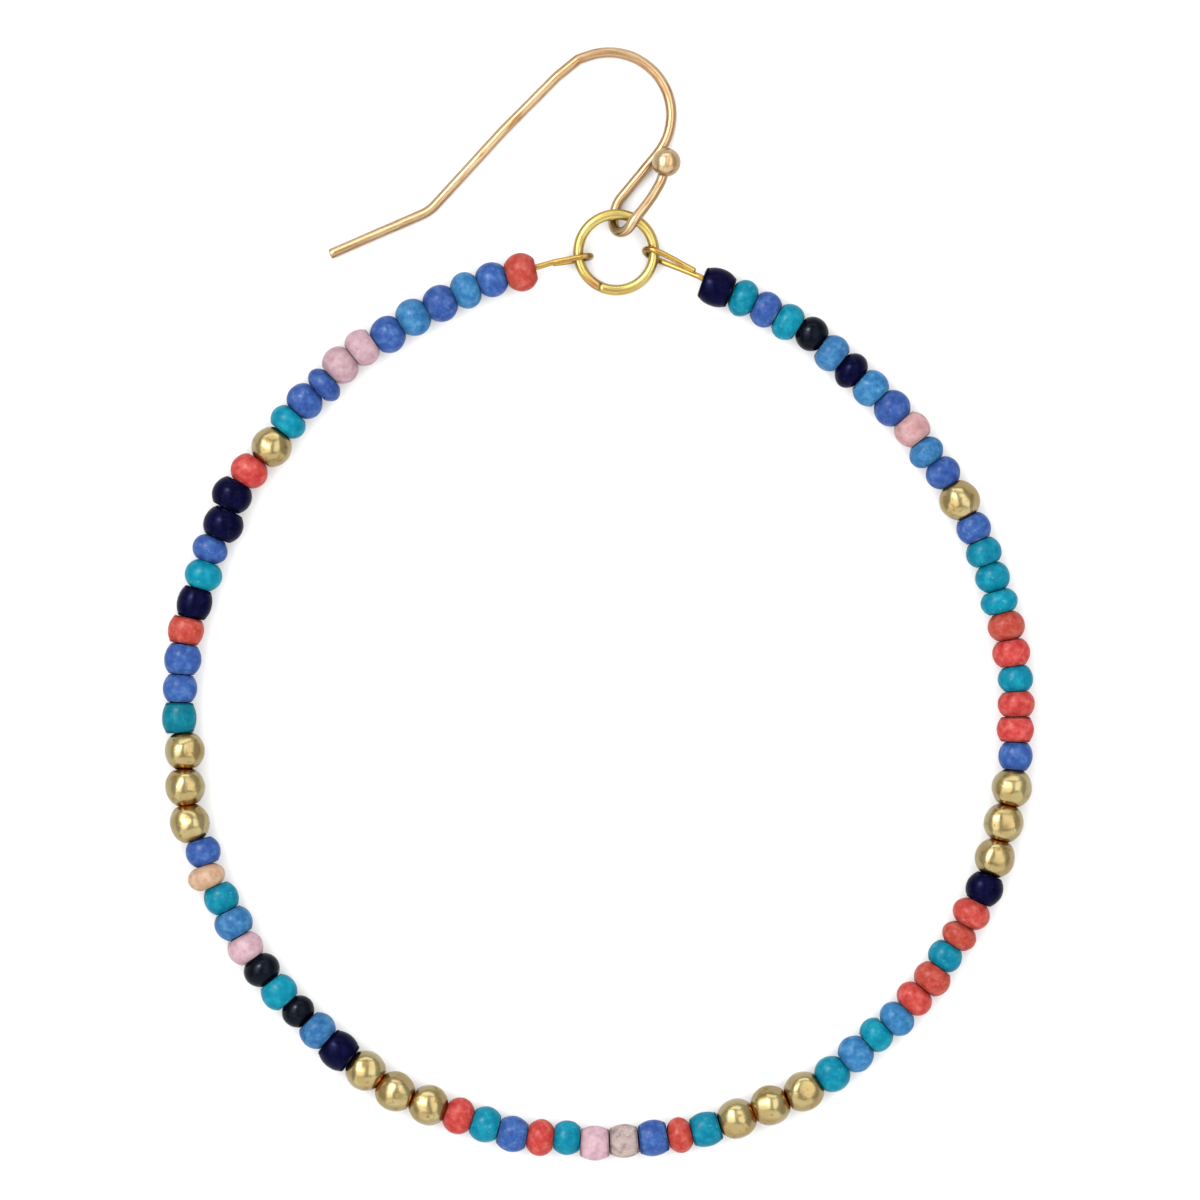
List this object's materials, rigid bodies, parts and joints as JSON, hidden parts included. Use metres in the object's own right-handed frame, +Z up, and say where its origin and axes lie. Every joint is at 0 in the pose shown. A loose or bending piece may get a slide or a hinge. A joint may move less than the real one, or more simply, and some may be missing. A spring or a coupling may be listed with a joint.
{
  "type": "earring",
  "caption": "Dangle earring lying flat: a teardrop wire hoop strung with coloured glass beads and gold accent beads, hung by two wire eyes from a jump ring on a long ear hook.",
  "frame": {"origin": "middle of the earring's box, on the surface that it lies on", "axes": "+Z up from the surface, +Y along the earring from the hoop's bowl to the ear hook, +X to the right as it lies"},
  "size_m": [0.0656, 0.0836, 0.0031],
  "materials": {
    "hook_wire": "polished, light rose gold",
    "gold_wire": "polished yellow gold",
    "gold_bead": "polished pale gold",
    "bead_glass": "opaque satin glass in mixed colours, blue and turquoise leading"
  },
  "bodies": {
    "root": {"ear_hook": "hook_wire", "jump_ring": "gold_wire", "hoop_wire": "gold_wire", "glass_beads": "bead_glass", "gold_bead_01": "gold_bead", "gold_bead_02": "gold_bead", "gold_bead_03": "gold_bead", "gold_bead_04": "gold_bead", "gold_bead_05": "gold_bead", "gold_bead_06": "gold_bead", "gold_bead_07": "gold_bead", "gold_bead_08": "gold_bead", "gold_bead_09": "gold_bead", "gold_bead_10": "gold_bead", "gold_bead_11": "gold_bead", "gold_bead_12": "gold_bead", "gold_bead_13": "gold_bead", "gold_bead_14": "gold_bead"}
  },
  "joints": []
}
